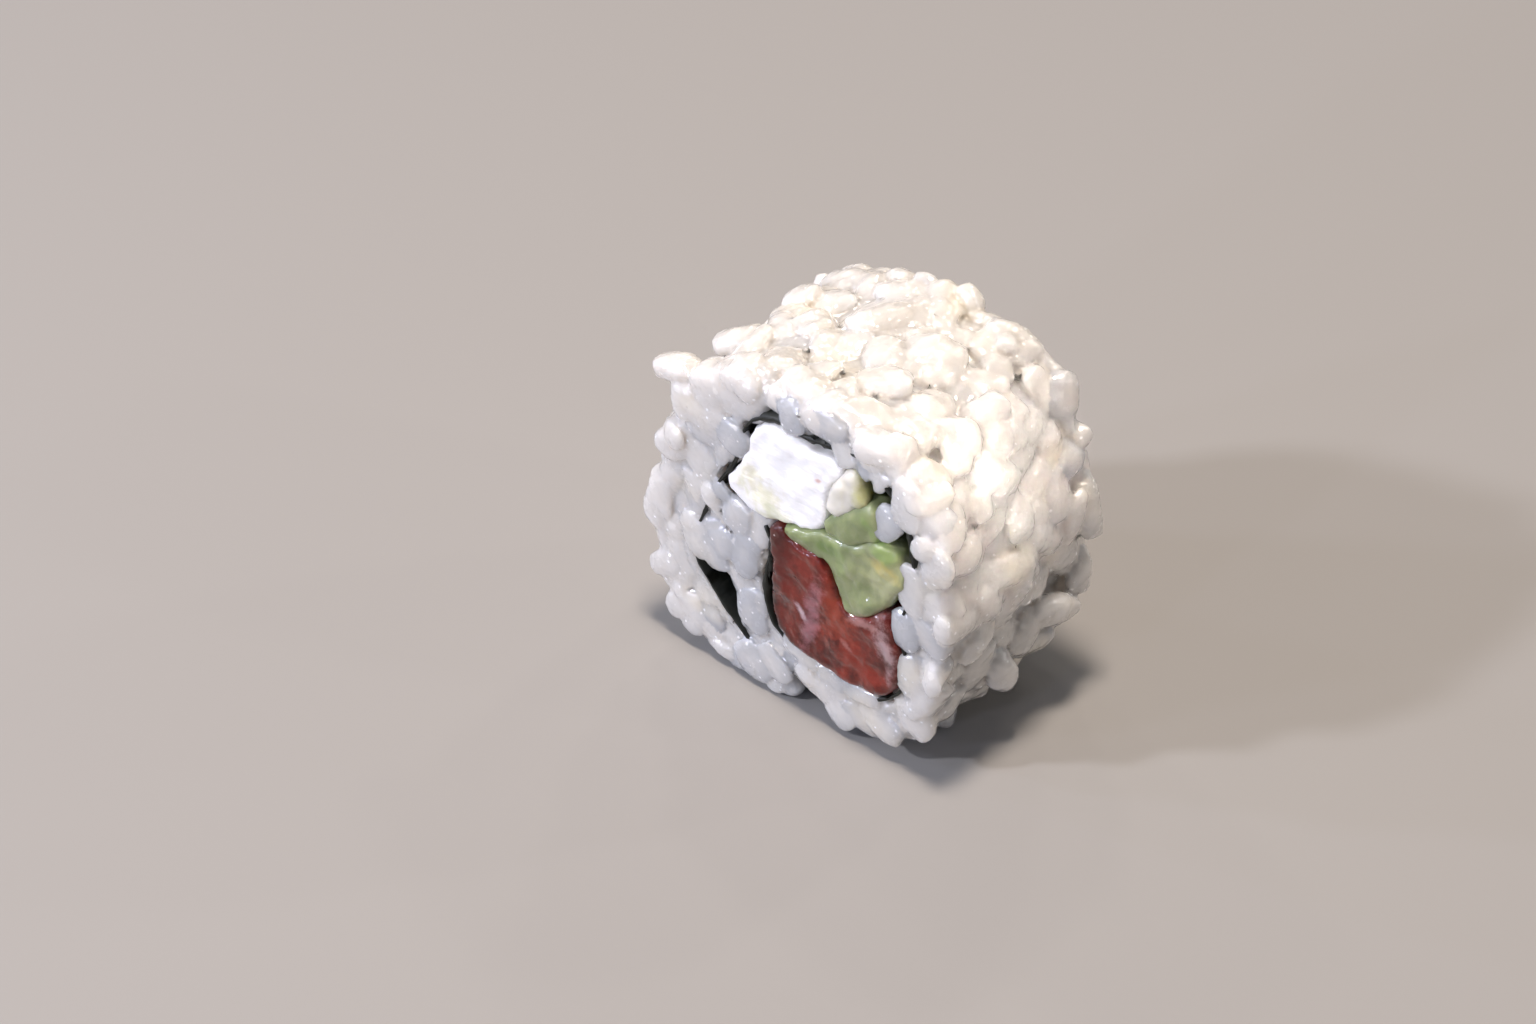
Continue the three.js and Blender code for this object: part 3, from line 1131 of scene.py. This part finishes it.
# %% Lay the loose grains
LOOSE = [
    # round the left of the cut face, from the top down
    (plump, (-14.6, -11.0, 37.3), (-21.2, -10.8, 34.7), 1.0, 0.1),
    (plump, (-15.9, -12.2, 36.0), (-15.6, -12.8, 31.0), 0.8, 0.2),
    (plump, (-15.2, -10.8, 36.6), (-10.0, -11.2, 38.2), 1.25, 0.1),
    (plump, (-14.6, -11.6, 34.8), (-9.8, -12.0, 36.4), 1.2, 0.2),
    (plain, (-15.0, -12.0, 32.4), (-9.4, -12.4, 33.8), 1.15, 0.4),
    (plump, (-9.6, -12.6, 30.2), (-7.2, -12.9, 34.2), 1.1, 0.8),
    (plump, (-15.0, -12.2, 28.5), (-19.5, -12.4, 25.0), 1.0, 0.3),
    (plain, (-19.0, -12.3, 21.5), (-20.5, -12.3, 13.5), 1.05, 0.3),
    (plump, (-16.5, -12.2, 11.0), (-20.5, -12.4, 7.5), 0.9, 0.4),
    (burst, (-13.0, -12.4, 6.5), (-18.5, -12.6, 3.5), 0.95, 0.3),
    (plump, (-13.5, -12.6, 6.0), (-15.0, -12.8, 1.5), 0.8, 0.5),
    # along the bottom of the cut face
    (plain, (-8.0, -12.6, 4.5), (-3.0, -12.8, 1.3), 1.2, 0.7),
    (plain, (-4.6, -12.7, 6.0), (-0.4, -12.9, 2.4), 0.9, 0.6),
    (plump, (2.0, -12.6, 5.0), (6.0, -12.8, 3.8), 0.75, 0.3),
    (plump, (4.5, -12.4, 4.0), (9.0, -12.8, 1.8), 0.9, 0.4),
    (burst, (8.8, -11.6, 5.0), (15.4, -12.2, 3.4), 1.15, 0.5),
    (plain, (10.5, -6.7, 2.6), (16.0, -3.8, 1.6), 1.15, 0.6),
    (plain, (-4.8, 12.7, 5.8), (-0.6, 12.9, 2.2), 1.0, 0.5),
    # down the right of the roll
    (plump, (19.8, -3.6, 13.0), (20.8, -1.0, 7.0), 0.9, 0.5),
    (tapered, (19.8, 2.6, 14.6), (21.6, 9.4, 12.2), 1.15, 0.4),
    (plain, (18.8, 0.4, 10.4), (19.4, 7.6, 8.0), 1.0, 0.6),
    (plain, (19.8, 10.4, 28.0), (21.2, 12.0, 20.0), 1.15, 0.5),
    (burst, (19.6, 11.2, 19.0), (21.2, 9.8, 13.4), 1.0, 0.5),
    (plain, (18.0, 8.0, 32.2), (19.4, 11.0, 29.4), 1.2, 0.8),
    (tapered, (17.4, 10.8, 31.6), (19.2, 12.6, 34.0), 0.9, 0.5),
    (plain, (15.5, 12.0, 39.8), (17.2, 10.4, 34.4), 1.3, 0.6),
    # over the back and the top
    (plump, (7.2, 12.5, 38.8), (11.6, 12.8, 36.4), 0.9, 0.4),
    (plump, (-1.8, 11.6, 42.0), (2.6, 10.2, 42.6), 1.1, 0.3),
    (plump, (1.2, 12.2, 43.2), (4.4, 11.8, 40.8), 1.2, 0.4),
    (plain, (-6.2, 7.4, 41.4), (0.2, 10.2, 42.4), 1.1, 0.3),
    (burst, (-14.0, 8.4, 37.6), (-9.0, 9.0, 40.6), 1.2, 0.4),
    (plump, (-10.4, 9.2, 37.0), (-10.4, 9.6, 41.0), 1.0, 0.3),
    (plump, (-14.8, 2.8, 38.4), (-10.8, 4.2, 40.8), 0.9, 0.2),
    (plain, (-16.4, -6.8, 36.8), (-12.0, -4.0, 39.8), 1.1, 0.1),
    (plain, (7.0, 9.6, 42.2), (13.6, 11.2, 40.6), 1.15, 0.4),
    (plain, (-3.0, -0.8, 42.6), (0.6, 6.8, 42.8), 1.15, 0.2),
    (plump, (3.4, 0.8, 42.8), (10.0, 3.8, 41.8), 1.3, 0.1),
    # the front rim
    (plain, (-10.4, -11.4, 39.0), (-5.2, -11.9, 40.6), 1.15, 0.1),
    (plain, (-3.6, -9.4, 41.6), (4.0, -10.8, 42.2), 1.1, 0.2),
    (plain, (4.2, -10.2, 42.2), (11.2, -9.2, 41.0), 1.1, 0.3),
    (broken, (10.4, -8.2, 41.4), (14.8, -7.0, 39.8), 1.1, 0.2),
    (plump, (13.4, -2.2, 40.6), (17.0, -4.8, 38.2), 1.0, 0.3),
    (plump, (14.8, 0.8, 40.0), (17.8, 0.0, 35.8), 1.0, 0.4),
    (plump, (17.6, -4.8, 36.8), (18.4, 1.6, 33.0), 1.1, 0.3),
    (plain, (14.2, -11.4, 40.0), (17.6, -8.0, 36.8), 1.0, 0.1),
    # hanging over the fillings
    (plump, (-1.5, -12.4, 41.2), (0.8, -12.8, 37.2), 0.9, 0.9),
    (plain, (1.4, -12.4, 40.7), (7.4, -12.6, 40.5), 0.95, 0.8),
    (broken, (6.0, -12.4, 39.4), (8.0, -12.8, 36.6), 0.8, 0.3),
    (plain, (8.0, -12.0, 41.0), (12.4, -12.6, 38.4), 1.05, 0.2),
    (broken, (8.8, -12.4, 38.0), (11.0, -12.6, 36.8), 0.6, 0.9),
    (broken, (10.4, -12.2, 38.4), (12.8, -12.6, 36.4), 0.8, 0.4),
    (plain, (14.8, -12.5, 39.2), (15.8, -12.7, 32.4), 1.05, 0.2),
    (plump, (14.2, -12.6, 34.2), (11.4, -12.9, 30.2), 0.95, 0.9),
    (plump, (-16.2, -12.7, 17.8), (-12.2, -12.9, 16.8), 0.75, 0.5),
    # in the rice left of the tuna
    (plump, (-15.0, -12.4, 17.4), (-11.8, -12.8, 13.6), 1.05, 0.6),
    (plain, (-12.8, -12.4, 17.4), (-10.2, -12.8, 12.9), 1.1, 0.7),
    (plump, (-10.0, -12.6, 22.6), (-5.6, -12.8, 21.4), 1.15, 0.7),
    (plain, (-6.2, -12.6, 20.6), (-7.4, -12.8, 14.2), 1.1, 0.9),
    (plump, (-10.8, -12.6, 19.2), (-9.4, -12.8, 15.0), 1.05, 0.8),
    (plain, (-6.6, -12.6, 13.0), (-5.0, -12.8, 7.0), 1.1, 0.9),
    # in the rice right of the fillings
    (plain, (15.8, -12.5, 28.6), (16.4, -12.5, 21.8), 1.0, 0.3),
    (plump, (15.4, -12.5, 22.0), (15.9, -12.5, 16.4), 0.95, 0.9),
    (plain, (15.6, -12.5, 16.4), (16.6, -12.5, 10.2), 1.0, 0.4),
    # lapping over the nori, left of the cheese and under the tuna
    (plump, (-11.6, -12.6, 25.0), (-8.8, -12.8, 23.6), 0.6, 0.9),
    (plump, (-5.4, -12.6, 13.4), (-4.2, -12.8, 9.4), 0.7, 0.8),
    (plain, (-1.4, -12.7, 8.7), (4.0, -12.9, 7.2), 0.65, 0.5),
    (plump, (3.6, -12.8, 7.2), (7.8, -12.9, 6.8), 0.6, 0.6),
    (plain, (7.2, -12.8, 6.8), (12.4, -12.9, 7.3), 0.65, 0.4),
]
for kind, start, end, width, tone_and_shade_value in LOOSE:
    lay_grain(kind, start, end, width, tone_and_shade_value)
print(len(LOOSE), "loose grains")

# %% [markdown]
# ## The mass of rice
#
# Under the outer grains the rice is pressed into one mass: the skin of the CAD rice, pulled in by
# half a grain's thickness, stands for it. By the nori it is pulled in less, so that it still backs
# the sheet, and in the hollows it stands well back from the cut.


# %% Pull the mass in under the grains
def swell_off_nori(piece, amount, close, clear, least):
    """Swells the skin by an amount in mm, and close to the nori only by the least share of it."""
    group = piece.vertex_groups.new(name="free")
    for vertex in piece.data.vertices:
        gap = nori_gap(vertex.co / MM)
        weight = min(max((gap - close) / (clear - close), least), 1.0)
        group.add([vertex.index], weight, "REPLACE")
    swell(piece, amount, group.name)
    piece.vertex_groups.clear()


UNDER_GRAINS = 1.3
HOLLOW_DEPTH = 3.2
MASS_TONE = 0.6
select_only(mass)
bpy.ops.object.duplicate()
skin_of_roll = bpy.context.object
swell_off_nori(mass, -UNDER_GRAINS, close=0.4, clear=2.0, least=0.2)
select_vertices(mass, lambda v: in_hollow(v, 0.2))
bpy.ops.transform.translate(value=(0, HOLLOW_DEPTH * MM, 0))
bpy.ops.object.mode_set(mode="OBJECT")
remesh(mass, MASS_VOXEL)
uneven(mass, 3.0, 1.2, seed=13)
set_values(mass.data, GRAIN_TONE_AND_SHADE, [MASS_TONE] * len(mass.data.vertices))
print("mass under the grains:", len(mass.data.polygons), "faces")

# %% [markdown]
# All grains are joined to the mass, and one fine voxel remesh melts them together as starch does,
# so that light can wander from grain to grain with no walls between. The skin swells before it and
# shrinks after it, which fills the sharpest seams. Tiny bubbles that the remesh leaves inside the
# rice are taken out.

# %% Join the grains and melt them together
STARCH = 0.14
RICE_VOXEL = 0.28
RICE_FACES = 96000
every_grain = [copy for kind in copies.values() for copy in kind]
select_only(*every_grain)
bpy.ops.object.join()
grains = bpy.context.object
apply_modifier(grains, "SUBSURF", levels=1, render_levels=1)
uneven(grains, 2.0, 0.8, seed=17)
select_only(mass, grains)
bpy.ops.object.join()
rice = mass
swell_off_nori(rice, STARCH, close=0.3, clear=1.8, least=0.1)
print("before the remesh:", len(rice.data.polygons), "faces")
remesh(rice, RICE_VOXEL)
print("after the remesh:", len(rice.data.polygons), "faces")
swell_off_nori(rice, -STARCH, close=0.3, clear=1.8, least=0.1)
share = RICE_FACES / len(rice.data.polygons)
apply_modifier(rice, "DECIMATE", ratio=share, use_collapse_triangulate=True)

# %% Take out the bubbles
select_only(rice)
bpy.ops.mesh.separate(type="LOOSE")
islands = sorted(bpy.context.selected_objects, key=lambda island: len(island.data.polygons))
rice = islands.pop()
print("bubbles removed:", [len(bubble.data.polygons) for bubble in islands])
for bubble in islands:
    bpy.data.objects.remove(bubble)
rice.name = "rice_mass"

# %% [markdown]
# The rolling mat and the knife level the grains. The relief is pressed towards the smooth skin of
# the roll, more so on the cut, where the knife went through. What lies deep between grains stays
# as it is, and so does what is close to the nori. Loose grains came later, and are hardly pressed.

# %% Press the grains towards the rolled skin
FLATTEN = 0.5
FLATTEN_CUT = 0.68
RELIEF_DEPTH = 2.4
RELIEF_FADE = 0.8
OUTSIDE_SHARE = 0.4
OUTSIDE_REACH = 1.2
LOOSE_SHARE = 0.8
pressed = rice.vertex_groups.new(name="pressed")
is_loose = rice.data.attributes["is_loose"].data
touched = 0
for vertex in rice.data.vertices:
    near, normal, _, _ = mass_tree.find_nearest(vertex.co)
    depth = (near - vertex.co).dot(normal) / MM
    flatten = FLATTEN_CUT if abs(normal.y) > CUT_NORMAL else FLATTEN
    weight = flatten * min(max((RELIEF_DEPTH - depth) / RELIEF_FADE, 0.0), 1.0)
    if depth < 0:
        weight = OUTSIDE_SHARE * flatten * max(1 + depth / OUTSIDE_REACH, 0.0)
    weight *= min(max(nori_gap(vertex.co / MM) - 0.4, 0.0), 1.0)
    weight *= 1 - LOOSE_SHARE * is_loose[vertex.index].value
    if weight > 0:
        pressed.add([vertex.index], weight, "REPLACE")
        touched += 1
apply_modifier(rice, "SHRINKWRAP", target=skin_of_roll, vertex_group="pressed")
rice.vertex_groups.clear()
bpy.data.objects.remove(skin_of_roll)
print(touched, "vertices pressed of", len(rice.data.vertices))

# %% [markdown]
# Last, the grains that still stand out of the cut are squeezed back in two steps, the further out
# the more, and the lowest ones are pressed nearly level, as the slice rests on them.

# %% Press the cut faces and the bottom
select_only(rice)
for cut, squeeze in ((HALF_LENGTH - 1.1, 0.6), (HALF_LENGTH - 0.4, 0.5)):
    for end in (-cut, cut):
        centre = (0, end * MM, 0)
        stretch_vertices(rice, lambda v, end=end: v.y / end > 1, (1, squeeze, 1), centre)
        bpy.ops.object.mode_set(mode="OBJECT")
REST = 0.6
REST_SQUEEZE = 0.24
stretch_vertices(rice, lambda v: v.z < REST, (1, 1, REST_SQUEEZE), (0, 0, REST * MM))
bpy.ops.object.mode_set(mode="OBJECT")
finish_piece(rice, rice_material, "rice", "rice")
for grain in GRAINS:
    bpy.data.objects.remove(grain)
